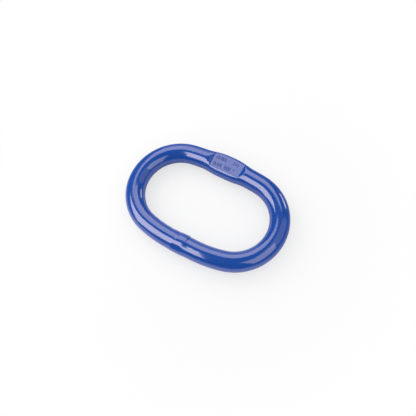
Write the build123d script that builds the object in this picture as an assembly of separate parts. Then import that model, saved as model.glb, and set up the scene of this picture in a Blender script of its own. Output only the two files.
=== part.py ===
from build123d import *
import os
from math import asin, atan2, degrees, sqrt

# A master link: one closed oval of round steel bar, bent, flash welded shut and then pressed flat on
# two opposite sides in the middle of one leg. It lies in the XY plane, with the origin in the middle of
# the eye at the bar's mid height. X runs along the link, +Y points to the pressed leg, and the weld is in
# the leg on the other side. Sizes are in millimetres, and bends are measured on the bar's centreline.

# The bar and the eye
bar_diameter = 27.0
inner_length = 178.0
inner_width = 98.0
leg_straight = 30.0           # straight middle of the welded leg
shoulder_radius = 174.0       # slow bend between that straight and an end
pressed_leg_radius = 425.0    # the slight bow of the pressed leg, which the press left pushed into the eye

# The two flats pressed into the +Y leg
flat_depth = 3.5         # from the crown of the bar down to the flat
flat_length = 43.7       # level stretch of each flat
wall_run = 4.2           # length in which an end wall climbs from the flat to the crown
side_swell = 3.0         # how far the squeezed metal bulges past each side of the round bar
swell_length = 73.0      # stretch of the leg that bulges
flat_edge_break = 1.0    # width of the break along the long edges of a flat
wall_round = 4.0         # rounding over the top of an end wall

# The flash butt weld in the other leg
upset_growth = 0.7       # how much thicker the upset metal is than the bar, all round
upset_length = 26.0
ridge_offset = 4.6       # from the middle of the leg to the trimmed flash ridge
ridge_height = 0.3       # what the trimming left standing above the upset metal
ridge_width = 2.4

# Worked out from the sizes above
bar_radius = bar_diameter / 2
half_length = inner_length / 2 + bar_radius
half_width = inner_width / 2 + bar_radius
straight_end = leg_straight / 2
shoulder_reach = half_length - straight_end
end_radius = (2 * shoulder_radius * half_width - half_width**2 - shoulder_reach**2) / (
    2 * (shoulder_radius - shoulder_reach)
)
end_centre = half_length - end_radius
shoulder_turn = degrees(atan2(end_centre - straight_end, shoulder_radius - half_width))
bow_centre = -sqrt((pressed_leg_radius - end_radius) ** 2 - end_centre**2)
bow_turn = degrees(asin(end_centre / (pressed_leg_radius - end_radius)))
pressed_middle = bow_centre + pressed_leg_radius


def half_ring():
    """The +X half of the bar's centreline, from the middle of the pressed leg to the middle of the weld's leg."""
    bow = CenterArc((0, bow_centre), pressed_leg_radius, 90, -bow_turn)
    end = CenterArc((end_centre, 0), end_radius, 90 - bow_turn, bow_turn + shoulder_turn - 180)
    shoulder_centre = (straight_end, shoulder_radius - half_width)
    shoulder = CenterArc(shoulder_centre, shoulder_radius, shoulder_turn - 90, -shoulder_turn)
    straight = Line((straight_end, -half_width), (0, -half_width))
    return Wire([bow, end, shoulder, straight])


def across(line, share):
    """Plane across a centreline at a share of its length, with x pointing into the eye."""
    along = line % share
    return Plane(line @ share, x_dir=(along.Y, -along.X, 0), z_dir=along)


def pressed_leg(ring):
    """The squeezed stretch of the +Y leg, oval in section, with a flat pressed into its top and underside."""
    last = 4
    reach = swell_length / 2
    half = []
    for step in range(last + 1):
        share = step / last
        swell = side_swell * (1 - share**3) ** 3
        half.append(across(ring, share * reach / ring.length) * Ellipse(bar_radius + swell, bar_radius))
    other_half = [mirror(section, about=Plane.YZ) for section in half[:0:-1]]
    leg = loft(other_half + half) - die() - mirror(die(), about=Plane.XY)
    long_edges = leg.faces().filter_by(is_flat).edges().filter_by(GeomType.LINE, reverse=True)
    return leg.chamfer(flat_edge_break, None, long_edges)


def die():
    """What the upper die takes from the bar: a level face, and at each end a slope that rounds over at the top.

    The rounding ends a little above the crown, so that the die leaves the crown at a slight angle.
    """
    floor = bar_radius - flat_depth
    rim = bar_radius + 0.1
    foot = flat_length / 2
    top = foot + wall_run
    far = top + 2 * wall_round
    wall = FilletPolyline((foot, floor), (top, rim), (far, rim), radius=wall_round)
    rest = Polyline((far, rim), (far, bar_diameter), (0, bar_diameter), (0, floor), (foot, floor))
    half = extrude(Plane.XZ * make_face([wall, rest]), bar_diameter, both=True)
    return Pos(0, pressed_middle, 0) * (half + mirror(half, about=Plane.YZ))


def is_flat(face):
    """True for a level face, which on the pressed leg is one of its two flats."""
    return face.geom_type == GeomType.PLANE and abs(face.normal_at().Z) > 0.99


def plain_bar(ring):
    """The round bar of the +X half, from where the squeezed metal ends to the middle of the weld's leg."""
    rest = ring.trim(swell_length / 2 / ring.length, 1)
    return sweep(across(rest, 0) * Circle(bar_radius), path=rest)


def weld():
    """The upset metal round the middle of the -Y leg, and the ridge of trimmed flash on it.

    The upset metal is a long egg on the bar's axis, which comes out of the bar over the length of the
    upset, and the ridge is a ring of low triangular section, the lower half of which is sunk in the egg.
    """
    crest = bar_radius + upset_growth
    reach = upset_length / 2 / sqrt(1 - (bar_radius / crest) ** 2)
    egg = Ellipse(reach, crest) & Pos(0, crest) * Rectangle(2 * reach, 2 * crest)
    seat = crest * sqrt(1 - (ridge_offset / reach) ** 2)
    roof = Polygon((-ridge_width, -ridge_height), (ridge_width, -ridge_height), (0, ridge_height), align=None)
    ridge = Pos(ridge_offset, seat) * roof
    return Pos(0, -half_width, 0) * (revolve(egg, Axis.X) + revolve(ridge, Axis.X))


ring = half_ring()
bar = plain_bar(ring)
master_link = pressed_leg(ring) + bar + mirror(bar, about=Plane.YZ) + weld()

os.makedirs("parts", exist_ok=True)
export_step(master_link, "parts/master_link.step")
print("end bend radius", round(end_radius, 2), "thickness over the flats", bar_diameter - 2 * flat_depth)
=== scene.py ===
import math

import bpy
import numpy as np
from mathutils import Matrix, Vector


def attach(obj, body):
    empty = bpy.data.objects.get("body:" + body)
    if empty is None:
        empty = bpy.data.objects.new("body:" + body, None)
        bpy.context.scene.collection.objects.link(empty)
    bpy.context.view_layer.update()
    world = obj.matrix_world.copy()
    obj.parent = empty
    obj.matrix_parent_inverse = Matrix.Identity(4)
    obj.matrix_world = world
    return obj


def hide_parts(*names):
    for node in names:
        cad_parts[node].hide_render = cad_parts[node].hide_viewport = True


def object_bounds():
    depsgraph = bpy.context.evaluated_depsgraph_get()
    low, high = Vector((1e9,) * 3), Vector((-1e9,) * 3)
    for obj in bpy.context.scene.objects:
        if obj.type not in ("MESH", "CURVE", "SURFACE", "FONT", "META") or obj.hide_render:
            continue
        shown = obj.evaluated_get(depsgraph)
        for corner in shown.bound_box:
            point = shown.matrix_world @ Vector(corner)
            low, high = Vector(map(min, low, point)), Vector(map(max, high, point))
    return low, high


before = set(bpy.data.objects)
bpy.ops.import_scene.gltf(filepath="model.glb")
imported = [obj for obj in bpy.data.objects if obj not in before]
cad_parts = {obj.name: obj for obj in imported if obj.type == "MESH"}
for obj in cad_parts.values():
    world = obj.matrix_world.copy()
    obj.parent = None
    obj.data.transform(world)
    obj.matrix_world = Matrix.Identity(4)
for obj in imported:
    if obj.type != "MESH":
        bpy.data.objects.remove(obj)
cad_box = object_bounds()

# The bar of the link.
# One length of round alloy steel bar is heated and bent round a former into an oval, with slow bends
# at the shoulders and a tight one at each end. The joint of its two ends is in the middle of one leg.
bar_radius = 0.0135
inner_length = 0.178
inner_width = 0.098
leg_straight = 0.030
shoulder_radius = 0.174
pressed_leg_radius = 0.425

# The end bends have the radius at which the oval closes.
half_length = inner_length / 2 + bar_radius
half_width = inner_width / 2 + bar_radius
shoulder_reach = half_length - leg_straight / 2
end_radius = (2 * shoulder_radius * half_width - half_width**2 - shoulder_reach**2) / (
    2 * (shoulder_radius - shoulder_reach)
)
end_centre = half_length - end_radius
shoulder_turn = math.atan2(end_centre - leg_straight / 2, shoulder_radius - half_width)
bow_turn = math.asin(end_centre / (pressed_leg_radius - end_radius))
pressed_middle = pressed_leg_radius - math.sqrt((pressed_leg_radius - end_radius) ** 2 - end_centre**2)

# Each stretch of the bar's axis is an arc, given by its radius and turn. The straight one has its length.
bow = (pressed_leg_radius, bow_turn)
end_bend = (end_radius, math.pi - shoulder_turn - bow_turn)
shoulder = (shoulder_radius, shoulder_turn)
weld_leg = (math.inf, leg_straight)
stretches = [bow, end_bend, shoulder, weld_leg, shoulder, end_bend, bow]
stretch_rate = np.array([-1 / radius for radius, size in stretches])
stretch_length = np.array([size if math.isinf(radius) else radius * size for radius, size in stretches])
stretch_start = np.concatenate([[0], np.cumsum(stretch_length)])
stretch_heading = np.concatenate([[0], np.cumsum(stretch_length * stretch_rate)])
bar_length = stretch_start[-1]


def chord(heading, rate, length):
    """Step from one end of an arc to the other.

    It is the arc's length times the sinc of half its turn, in the direction of its mean heading.
    """
    half_turn = rate * length / 2
    step = length * np.sinc(half_turn / np.pi)
    return np.stack([step * np.cos(heading + half_turn), step * np.sin(heading + half_turn)], axis=-1)


stretch_point = np.array([0, pressed_middle]) + np.concatenate(
    [[[0, 0]], np.cumsum(chord(stretch_heading[:-1], stretch_rate, stretch_length), axis=0)]
)


def centreline(along):
    """Point on the bar's axis and unit vector out of the eye, at each distance from the pressed leg's middle.

    The stretch that a distance falls in gives a start, a heading and a rate of turn, and the chord of the
    rest of the way is added to the start.
    """
    stretch = np.searchsorted(stretch_start, along, side="right") - 1
    rest = along - stretch_start[stretch]
    point = stretch_point[stretch] + chord(stretch_heading[stretch], stretch_rate[stretch], rest)
    heading = stretch_heading[stretch] + stretch_rate[stretch] * rest
    return point, np.stack([-np.sin(heading), np.cos(heading)], axis=-1)


# The flats in the pressed leg.
# After the weld the middle of the other leg is squeezed hot between two dies, so that a coupling can be
# slipped over it. The metal goes out sideways, and the dies leave a sloping wall at each end of the flat.
flat_depth = 0.0035
flat_length = 0.0437
flat_middle = -0.0004
flat_level = bar_radius - flat_depth

# The +X end wall climbs evenly. The other climbs steeply up to a height, and then gently.
even_rise = 0.59
steep_rise = 1.5
steep_height = 0.0010
gentle_rise = 0.36
bend_rounding = 0.0006
foot_rounding = 0.0003

# Where a wall comes out through the round of the bar it is rounded over, more so from a little beyond its
# foot and less again near its top.
crown_rounding = 0.00035
even_wall_rounding = 0.0005
bent_wall_rounding = 0.0010
rounding_start = 0.001
rounding_rise = 0.003
rounding_end = 0.007
rounding_fall = 0.006

# The sides bulge over a stretch longer than the flat, and the long edges of the flat are rolled over. Up
# the end walls the roll runs out.
side_swell = 0.0030
swell_length = 0.073
swell_turn = 0.15
edge_break = 0.0008
edge_slope = 0.53
edge_runout = 3
edge_rounding = 0.0002
flat_edge = (bar_radius + side_swell / 2) * math.sqrt(1 - (flat_level / bar_radius) ** 2) + side_swell / 2


def eased(value):
    """Smooth step: 3 x squared less 2 x cubed, with x held between 0 and 1."""
    x = np.clip(value, 0, 1)
    return x * x * (3 - 2 * x)


def lesser(first, second, softness):
    """Smooth minimum: the lesser of two, less a quarter of the softness where they are equal."""
    blend = np.clip(0.5 + 0.5 * (second - first) / softness, 0, 1)
    return second + (first - second) * blend - softness * blend * (1 - blend)


def beyond_middle(along):
    """Distance along the pressed leg from the middle of the flats, below zero on the -X side."""
    return (along - flat_middle + bar_length / 2) % bar_length - bar_length / 2


def squeezed(along, around):
    """How far out of the eye and how far up the skin of the pressed leg lies from the bar's axis.

    The sides are those of the bar, half stretched and half moved out by the swell. The height is the smooth
    minimum of the bar's, of the die's and of the rolled edge's. The die is level at first and then climbs at
    the end walls, and the rolled edge slopes down towards the side.
    """
    beyond = beyond_middle(along)
    from_middle = np.abs(beyond)
    swell = side_swell * np.clip(1 - (2 * from_middle / swell_length) ** 3, 0, 1) ** 3
    out = (bar_radius + swell / 2) * np.cos(around) + swell / 2 * np.tanh(np.cos(around) / swell_turn)
    up = bar_radius * np.sin(around)

    past_foot = from_middle - flat_length / 2
    bent = lesser(steep_rise * past_foot, steep_height + gentle_rise * past_foot, bend_rounding)
    climb = np.where(beyond < 0, bent, even_rise * past_foot)
    die = flat_level - lesser(-climb, 0 * climb, foot_rounding)

    rounding = np.where(beyond < 0, bent_wall_rounding, even_wall_rounding)
    begun = eased((past_foot - rounding_start) / rounding_rise)
    ended = eased((past_foot - rounding_end) / rounding_fall)
    softness = crown_rounding + rounding * begun * (1 - ended)

    swollen_edge = flat_edge - (side_swell - swell) / 2
    inwards = swollen_edge - edge_break - np.abs(out)
    rolled_edge = flat_level + edge_slope * inwards + edge_runout * np.maximum(climb, 0)
    pressed = lesser(lesser(np.abs(up), die, softness), rolled_edge, edge_rounding)
    height = np.where(from_middle < swell_length / 2, pressed, np.abs(up))
    return out, np.sign(up) * height


# The marks punched into the upper flat.
# A test house strikes its marks with plain punches, before painting. Here they are upright strokes, level
# strokes and dots in two rows, which say nothing.
stroke = 0.00044
tall = 0.0025
wide = 0.0011
dot = 0.00055
punch_depth = 0.00026
punch_softness = 0.00032
upper_row = 0.0049
lower_row = -0.0054
upper_uprights = [-0.0172, -0.0143, -0.0100, -0.0079, -0.0043, 0.0081, 0.0143]
lower_uprights = [-0.0176, -0.0152, -0.0105, -0.0066, -0.0006, 0.0019, 0.0045, 0.0067]
level_places = [(-0.0121, upper_row + 0.0016), (-0.0061, upper_row - 0.0015), (0.0112, upper_row + 0.0014)]
level_places += [(-0.0129, lower_row - 0.0015), (-0.0086, lower_row + 0.0012), (0.0122, lower_row + 0.0016)]
dot_places = [(-0.0121, upper_row - 0.0014), (-0.0061, upper_row + 0.0014), (0.0112, upper_row - 0.0012)]
dot_places += [(-0.0129, lower_row + 0.0013), (-0.0086, lower_row - 0.0013), (0.0032, lower_row - 0.0020)]

# Each punch has its middle on the flat, along and across it, and half its size both ways.
punches = [(place, upper_row, stroke, tall) for place in upper_uprights]
punches += [(place, lower_row, stroke, tall) for place in lower_uprights]
punches += [(*place, wide, stroke) for place in level_places]
punches += [(*place, dot, dot) for place in dot_places]


def punched(along, around, out):
    """Share of the full depth to which the upper flat is punched in, from 0 to 1.

    Each punch is the smooth step of how far a point is inside its nearer side, and the deepest punch counts.
    """
    beyond = beyond_middle(along)
    deepest = 0 * out
    for middle, row, reach, rise in punches:
        inside = np.minimum(reach - np.abs(beyond - middle), rise - np.abs(out - row))
        deepest = np.maximum(deepest, eased(0.5 + inside / punch_softness))
    return deepest * (np.sin(around) > 0)


# The flash weld.
# The two ends of the bar are arced against each other and rammed together, which upsets the metal, and the
# flash that is squeezed out is trimmed while it is hot. What is left is a low ring with ragged edges.
upset_middle = -0.0030
upset_reach = 0.0170
upset_growth = 0.00032
upset_power = 1.5
lump_height = 0.00009
lump_size = 0.007

# The ring is highest on the inside of the link.
ring_growth = 0.00042
ring_outside = 0.8
ring_more_inside = 0.5

# At the weld line the ring ends sharply on the inside, and softly on the outside.
weld_line = 0.0046
line_slant = 0.0007
line_waver = 0.0007
line_raggedness = 0.012
sharp_from = 0.30
sharp_over = 0.22
sharp_ramp = 0.0018
soft_ramp = 0.0110

# At the trimmed end, which slants, it is the other way round.
trimmed_end = -0.0130
trimmed_slant = 0.0070
trimmed_waver = 0.0014
trimmed_raggedness = 0.014
trimmed_ramp = 0.0022
trimmed_more_inside = 0.0050

# A thin line of flash stands on the weld line.
flash_height = 0.00007
flash_reach = 0.0008
flash_unevenness = 0.8
flash_raggedness = 0.006

# The two edges and the flash are ragged as the slow waves are round the bar at one place along it.
line_waves_at = 0.1
end_waves_at = 0.3
flash_waves_at = 0

# The trimming tool left a flat face on the upper outer side.
face_turn = math.radians(45)
face_level = 0.00010
face_rounding = 0.00012
least_slant = 0.5


def waves(along, around, size, seed):
    """Slow unevenness between -1 and 1: the mean of twelve sine waves that close on themselves both ways."""
    count = 12
    draw = np.random.default_rng(seed)
    most_ribs = int(2 * np.pi * bar_radius / size)
    total = 0
    for wave in range(count):
        turns = draw.integers(1, int(bar_length / size))
        ribs = draw.integers(-most_ribs, most_ribs + 1)
        shift = draw.uniform(0, 2 * np.pi)
        total = total + np.sin(2 * np.pi * turns * along / bar_length + ribs * around + shift)
    return total / count


def upset(along, around):
    """How much thicker the bar is round the weld.

    A bell over the whole upset carries a ring, which rises and falls by smooth steps at its two ragged
    edges, and low lumps. On the weld line there is a narrow bell of what is left of the flash. On the upper
    outer side the ring's radius is held under that of a flat face cut across it.
    """
    place = bar_length / 2 - along
    inside = (1 - np.cos(around)) / 2
    sharp = eased((inside - sharp_from) / sharp_over)
    bell = np.clip(1 - ((place - upset_middle) / upset_reach) ** 2, 0, 1) ** upset_power
    line_waves = waves(line_waves_at, around, line_raggedness, seed=5)
    line = weld_line + line_slant * inside + line_waver * line_waves
    end_waves = waves(end_waves_at, around, trimmed_raggedness, seed=8)
    end = trimmed_end + trimmed_slant * inside + trimmed_waver * end_waves
    line_ramp = sharp_ramp + soft_ramp * (1 - sharp)
    end_ramp = trimmed_ramp + trimmed_more_inside * inside
    ring = eased((place - end) / end_ramp + 0.5) * (1 - eased((place - line) / line_ramp + 0.5))
    flash = np.exp(-(((place - line) / flash_reach) ** 2)) * sharp
    uneven = 1 + flash_unevenness * waves(flash_waves_at, around, flash_raggedness, seed=6)
    lumps = lump_height * bell * waves(along, around, lump_size, seed=17)
    swollen = upset_growth * bell + ring_growth * ring * (ring_outside + ring_more_inside * inside)
    untrimmed = swollen + flash_height * flash * uneven + lumps
    slant = np.maximum(np.cos(around - face_turn), least_slant)
    face = (bar_radius + face_level) / slant - bar_radius
    trimmed = lesser(untrimmed, face, face_rounding)
    return untrimmed + (trimmed - untrimmed) * ring


# The skin of the link.
# Bar, flats, marks and weld are one piece of steel with one skin, here one closed grid round the link and
# round the bar, finer over the flats, along their edges and at the weld. The forged skin is a bit uneven.
plain_gap = 0.0016
marks_gap = 0.00029
marks_reach = 0.0275
weld_gap = 0.0004
weld_reach = 0.0175
weld_offset = 0.003
gap_ease = 0.004

# Gaps and reaches round the bar are angles.
round_gap = 0.082
edge_gap = 0.008
edge_reach = 0.02
upper_flat_gap = 0.021
lower_flat_gap = 0.046
flat_reach = 0.74
flat_ease = 0.05

dent_depth = 0.00003
dent_size = 0.02
ripple_height = 0.000005
ripple_size = 0.009


def spaced(total, gap, fine_stretches):
    """Places round a closed line of a given total, a gap apart, closer in each (middle, reach, gap, ease).

    The places are where the running sum of one over the gap passes equal steps.
    """
    samples = 40001
    fine = np.linspace(0, total, samples)
    density = np.full(fine.shape, 1 / gap)
    for middle, reach, fine_gap, ease in fine_stretches:
        away = np.abs((fine - middle + total / 2) % total - total / 2)
        inside = eased((reach + ease - away) / ease)
        density = np.maximum(density, inside / fine_gap + (1 - inside) / gap)
    running = np.concatenate([[0], np.cumsum((density[1:] + density[:-1]) / 2 * np.diff(fine))])
    count = int(round(running[-1]))
    return np.interp(np.arange(count) * running[-1] / count, running, fine)


def closed_grid(name, points):
    """Mesh of a grid of points that closes on itself both ways, with its faces turned outwards."""
    rows, columns = points.shape[:2]
    number = np.arange(rows * columns).reshape(rows, columns)
    next_row = np.roll(number, -1, axis=0)
    next_column = np.roll(number, -1, axis=1)
    corner = np.roll(next_row, -1, axis=1)
    faces = np.stack([number, next_column, corner, next_row], axis=-1).reshape(-1, 4)
    mesh = bpy.data.meshes.new(name)
    mesh.vertices.add(rows * columns)
    mesh.vertices.foreach_set("co", points.reshape(-1).astype(np.float32))
    mesh.loops.add(faces.size)
    mesh.loops.foreach_set("vertex_index", faces.reshape(-1).astype(np.int32))
    mesh.polygons.add(len(faces))
    mesh.polygons.foreach_set("loop_start", np.arange(0, faces.size, 4, dtype=np.int32))
    mesh.polygons.foreach_set("use_smooth", np.ones(len(faces), dtype=bool))
    mesh.update(calc_edges=True)
    mesh.validate()
    return mesh


def keep_on_skin(mesh, name, values):
    """Store one number per vertex of a closed grid in a named attribute, for the material to read."""
    attribute = mesh.attributes.new(name, "FLOAT", "POINT")
    attribute.data.foreach_set("value", values.reshape(-1).astype(np.float32))


fine_along = [(0, marks_reach, marks_gap, gap_ease)]
fine_along += [(bar_length / 2 + weld_offset, weld_reach, weld_gap, gap_ease)]
edge_angle = math.asin(flat_level / bar_radius)
edges = [edge_angle, math.pi - edge_angle, math.pi + edge_angle, 2 * math.pi - edge_angle]
fine_around = [(math.pi / 2, flat_reach, upper_flat_gap, flat_ease)]
fine_around += [(-math.pi / 2, flat_reach, lower_flat_gap, flat_ease)]
fine_around += [(edge, edge_reach, edge_gap, edge_reach) for edge in edges]
along_places = spaced(bar_length, plain_gap, fine_along)
around_places = spaced(2 * math.pi, round_gap, fine_around)
along, around = np.meshgrid(along_places, around_places, indexing="ij")

out, up = squeezed(along, around)
in_mark = punched(along, around, out)
up = up - punch_depth * in_mark
dents = dent_depth * (waves(along, around, dent_size, seed=3) - 1)
ripples = ripple_height * waves(along, around, ripple_size, seed=21)
thicker = upset(along, around) + dents + ripples
out = out + thicker * np.cos(around)
up = up + thicker * np.sin(around)
axis_point, outward = centreline(along)
skin = np.concatenate([axis_point + outward * out[..., None], up[..., None]], axis=-1)

# Along the long edges of the flats the paint is thin.
thin_reach = 0.0006
thin_fade = 0.002
in_flat = eased((flat_length / 2 + thin_fade - np.abs(beyond_middle(along))) / thin_fade)
on_edge = in_flat * np.exp(-(((np.abs(out) - flat_edge) / thin_reach) ** 2)) * (np.abs(up) < bar_radius)

link = bpy.data.objects.new("link_skin", closed_grid("link_skin", skin))
bpy.context.scene.collection.objects.link(link)
keep_on_skin(link.data, "in_mark", in_mark)
keep_on_skin(link.data, "on_edge", on_edge)
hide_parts("master_link")
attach(link, "root")

# The paint.
# One coat of gloss blue enamel over the whole link, sprayed on the forged skin. It lies a little uneven, is
# thicker and duller in the punched marks, which are also painted darker as shade, and thin along the edges of
# the flats.
deep_blue = (0.003, 0.057, 0.315, 1)
bright_blue = (0.006, 0.073, 0.372, 1)
thin_blue = (0.020, 0.095, 0.38, 1)
# The punched marks are painted this darker blue: painted shade in their hollows.
painted_shade_blue = (0.002, 0.027, 0.16, 1)
rim_blue = (0.16, 0.22, 1.0, 1)
gloss_tint = (1.0, 0.84, 0.84, 1)
edge_thinness = 0.6
painted_shade_share = 0.9

# Wide clouds and a fine grain vary the tone and the gloss. The grain and a finer peel raise the surface.
cloud_scale = 55.0
grain_scale = 420.0
peel_scale = 900.0
clouds_in_tone = 0.7
grain_in_relief = 0.7
relief_height = 0.00005
plain_roughness = 0.10
cloud_roughness = 0.05
grain_roughness = 0.03
edge_roughness = 0.05
mark_roughness = 0.12
mark_gloss_loss = 0.75


class Value:
    """One output of a shader node, on which sums, differences and products add Math nodes."""

    def __init__(self, tree, socket=None):
        self.tree = tree
        self.socket = socket

    def node(self, kind, settings, sockets, output=0):
        """Any other node: of a kind, its settings set first, then each socket linked or given its value."""
        made = self.tree.nodes.new("ShaderNode" + kind)
        for name, setting in settings.items():
            setattr(made, name, setting)
        for name, value in sockets.items():
            if isinstance(value, Value):
                self.tree.links.new(value.socket, made.inputs[name])
            else:
                made.inputs[name].default_value = value
        return Value(self.tree, made.outputs[output])

    def maths(self, operation, first, second):
        """Math node that works out one number from two."""
        return self.node("Math", {"operation": operation}, {0: first, 1: second})

    def __add__(self, other):
        return self.maths("ADD", self, other)

    def __radd__(self, other):
        return self.maths("ADD", other, self)

    def __sub__(self, other):
        return self.maths("SUBTRACT", self, other)

    def __rsub__(self, other):
        return self.maths("SUBTRACT", other, self)

    def __mul__(self, other):
        return self.maths("MULTIPLY", self, other)

    def __rmul__(self, other):
        return self.maths("MULTIPLY", other, self)


paint = bpy.data.materials.new("blue_enamel")
paint.use_nodes = True
enamel = paint.node_tree.nodes["Principled BSDF"]
film = Value(paint.node_tree)
on_link = film.node("TexCoord", {}, {}, "Object")
marked = film.node("Attribute", {"attribute_name": "in_mark"}, {}, "Fac")
edge = film.node("Attribute", {"attribute_name": "on_edge"}, {}, "Fac")
clouds = film.node("TexNoise", {}, {"Vector": on_link, "Scale": cloud_scale, "Detail": 3.0}, "Fac")
grain = film.node("TexNoise", {}, {"Vector": on_link, "Scale": grain_scale, "Detail": 2.0}, "Fac")
peel = film.node("TexNoise", {}, {"Vector": on_link, "Scale": peel_scale, "Detail": 1.0}, "Fac")

# A Mix node of colours has its factor in socket 0, its two colours in 6 and 7, and the mixed one in output 2.
mix_colours = {"data_type": "RGBA"}
tone = clouds * clouds_in_tone + grain * (1 - clouds_in_tone)
blue = film.node("Mix", mix_colours, {0: tone, 6: deep_blue, 7: bright_blue}, 2)
blue = film.node("Mix", mix_colours, {0: edge * edge_thinness, 6: blue, 7: thin_blue}, 2)
# Painted shade: the punched marks are mixed towards the darker blue.
blue = film.node("Mix", mix_colours, {0: marked * painted_shade_share, 6: blue, 7: painted_shade_blue}, 2)
sprayed_roughness = plain_roughness + clouds * cloud_roughness + grain * grain_roughness
roughness = sprayed_roughness + edge * edge_roughness + marked * mark_roughness
coat_weight = 1 - marked * mark_gloss_loss
relief = grain * grain_in_relief + peel * (1 - grain_in_relief)
bumped = film.node("Bump", {}, {"Strength": 0.17, "Distance": relief_height, "Height": relief}, "Normal")
varied = {"Base Color": blue, "Roughness": roughness, "Coat Weight": coat_weight, "Normal": bumped}
for socket_name, value in varied.items():
    paint.node_tree.links.new(value.socket, enamel.inputs[socket_name])
enamel.inputs["Specular IOR Level"].default_value = 1.0
enamel.inputs["Specular Tint"].default_value = gloss_tint
enamel.inputs["Sheen Weight"].default_value = 0.42
enamel.inputs["Sheen Roughness"].default_value = 0.5
enamel.inputs["Sheen Tint"].default_value = rim_blue
enamel.inputs["Coat Roughness"].default_value = 0.06
enamel.inputs["Coat IOR"].default_value = 1.5
link.data.materials.append(paint)

# The floor.
# A sheet of pale paper under the link. The camera sees it nearly white, and white far from the link, as the
# room behind it. The light it throws back is its own grey, so the link keeps its shadow.
floor_level = cad_box[0][2]
floor_reach = 4.0
paper_grey = 0.84
paler_in_bounce = 0.06
white_share = 0.64
white_from = 0.09
all_white_from = 0.34

# In the gloss of the link the paper is paler near a place on the camera's side, as in the photograph.
# In the gloss the paler paper near that place is a painted pool of light, and the darker paper away from it
# painted shade.
palest_place = (0.00, -0.17, floor_level)
pale_reach = 0.12
pale_end = 0.34
gloss_painted_shade = 0.78
gloss_painted_light = 0.56
gloss_white = 0.05

corners = [(-1, -1), (1, -1), (1, 1), (-1, 1)]
sheet_corners = [(x * floor_reach, y * floor_reach, floor_level) for x, y in corners]
floor_mesh = bpy.data.meshes.new("floor")
floor_mesh.from_pydata(sheet_corners, [], [(0, 1, 2, 3)])
floor = bpy.data.objects.new("floor", floor_mesh)
bpy.context.scene.collection.objects.link(floor)
floor_paper = bpy.data.materials.new("floor_paper")
floor_paper.use_nodes = True
paper = floor_paper.node_tree.nodes["Principled BSDF"]
sheet = Value(floor_paper.node_tree)
to_camera = sheet.node("LightPath", {}, {}, "Is Camera Ray")
in_gloss = sheet.node("LightPath", {}, {}, "Is Glossy Ray")
through_glass = sheet.node("LightPath", {}, {}, "Is Transmission Ray")
by_diffuse = sheet.node("LightPath", {}, {}, "Is Diffuse Ray")
on_floor = sheet.node("TexCoord", {}, {}, "Object")

smooth = {"interpolation_type": "SMOOTHSTEP"}
away = sheet.node("VectorMath", {"operation": "DISTANCE"}, {0: on_floor, 1: palest_place}, "Value")
near_range = {"Value": away, "From Min": pale_end, "From Max": pale_reach}
near = sheet.node("MapRange", smooth, near_range, "Result")
outwards = sheet.node("VectorMath", {"operation": "LENGTH"}, {0: on_floor}, "Value")
far_range = {"Value": outwards, "From Min": white_from, "From Max": all_white_from}
far = sheet.node("MapRange", smooth, far_range, "Result")
# In the gloss the paper is painted darker as shade, and paler near the place as a painted pool of light.
pale = paper_grey + by_diffuse * paler_in_bounce - in_gloss * (gloss_painted_shade - near * gloss_painted_light)
grey = sheet.node("CombineColor", {}, {0: pale, 1: pale, 2: pale}, "Color")
white = sheet.node("Emission", {}, {"Strength": 1.0}, "Emission")
share = (to_camera + through_glass) * (white_share + far * (1 - white_share)) + in_gloss * near * gloss_white
seen = sheet.node("MixShader", {}, {0: share, 1: Value(floor_paper.node_tree, paper.outputs[0]), 2: white}, 0)
floor_paper.node_tree.links.new(grey.socket, paper.inputs["Base Color"])
floor_paper.node_tree.links.new(seen.socket, floor_paper.node_tree.nodes["Material Output"].inputs["Surface"])
paper.inputs["Roughness"].default_value = 0.9
paper.inputs["Specular IOR Level"].default_value = 0.0
floor_mesh.materials.append(floor_paper)


# The lamps.
# A large soft box stands on its corner behind the camera's left shoulder, two flat ones to the right, two at
# the back and a narrow one low at the back. These show in the gloss only. A wash from the left lights the
# colour of the paint and throws the soft shadow.
def direction(azimuth, elevation):
    """Unit vector from azimuth, turned from +X towards +Y, and elevation above the floor, in degrees."""
    turn, rise = math.radians(azimuth), math.radians(elevation)
    return Vector((math.cos(turn) * math.cos(rise), math.sin(turn) * math.cos(rise), math.sin(rise)))


def soft_box(name, azimuth, elevation, width, height, glow, turn=0, gloss_only=True):
    """Soft lamp a metre from the link, whose face is `glow` times as bright as white and turned to the link.

    A lamp either shows in the gloss only, or lights the colour of the paint and the floor only.
    """
    lamp = bpy.data.lights.new(name, "AREA")
    lamp.shape = "RECTANGLE"
    lamp.size = width
    lamp.size_y = height
    lamp.energy = glow * math.pi * width * height
    stand = bpy.data.objects.new(name, lamp)
    towards = direction(azimuth, elevation)
    facing = towards.to_track_quat("Z", "Y").to_matrix() @ Matrix.Rotation(math.radians(turn), 3, "Z")
    stand.matrix_world = Matrix.Translation(towards) @ facing.to_4x4()
    stand.visible_camera = False
    stand.visible_glossy = gloss_only
    stand.visible_diffuse = not gloss_only
    bpy.context.scene.collection.objects.link(stand)


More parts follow.
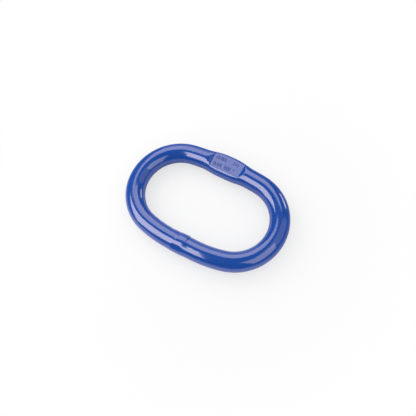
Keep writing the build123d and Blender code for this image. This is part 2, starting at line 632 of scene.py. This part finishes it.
soft_box("key_box", -135, 43, 0.88, 0.88, 3.4, turn=45)
soft_box("side_box", -16, 41, 0.70, 0.90, 1.3)
soft_box("side_sheet", 26, 42, 0.62, 1.25, 0.42)
soft_box("back_box", 118, 46, 1.00, 0.76, 1.65)
soft_box("back_sheet", 120, 15, 0.70, 0.50, 0.45)
soft_box("small_box", 62.5, 8, 0.30, 0.22, 3.8)
soft_box("left_wash", 172, 38, 0.90, 0.70, 1.9, gloss_only=False)

# The studio.
# The white room round the link. The camera sees it white, and its even light brings out the colour of the
# paint, but between the lamps the gloss shows it dark.
room_in_gloss = 0.02
room_light = 0.95
room_seen = 0.98
world = bpy.data.worlds.new("studio")
bpy.context.scene.world = world
world.use_nodes = True
room = Value(world.node_tree)
seen_direct = room.node("LightPath", {}, {}, "Is Camera Ray")
seen_through = room.node("LightPath", {}, {}, "Is Transmission Ray")
lit_by_room = room.node("LightPath", {}, {}, "Is Diffuse Ray")
strength = room_in_gloss + lit_by_room * room_light + (seen_direct + seen_through) * room_seen
world.node_tree.links.new(strength.socket, world.node_tree.nodes["Background"].inputs["Strength"])
world.node_tree.nodes["Background"].inputs["Color"].default_value = (1, 1, 1, 1)

# The camera.
# It stands where the photograph was taken from, going by the perspective of the link's outline: above the
# link and to one side.
camera_azimuth = -47.806
camera_elevation = 66.924
camera_roll = -14.159
camera_away = 0.69990
view_axis = direction(camera_azimuth, camera_elevation)
right = Vector((-math.sin(math.radians(camera_azimuth)), math.cos(math.radians(camera_azimuth)), 0))
above = view_axis.cross(right)
roll = math.radians(camera_roll)
rolled_right = right * math.cos(roll) + above * math.sin(roll)
rolled_above = above * math.cos(roll) - right * math.sin(roll)
camera = bpy.data.cameras.new("camera")
camera.sensor_width = 36
camera.lens = 45.281
camera.shift_x = 0.00498
camera.shift_y = -0.00708
facing_link = Matrix((rolled_right, rolled_above, view_axis)).transposed()
holder = bpy.data.objects.new("camera", camera)
holder.matrix_world = Matrix.Translation(view_axis * camera_away) @ facing_link.to_4x4()
bpy.context.scene.collection.objects.link(holder)
bpy.context.scene.camera = holder
bpy.context.scene.view_settings.view_transform = "Standard"
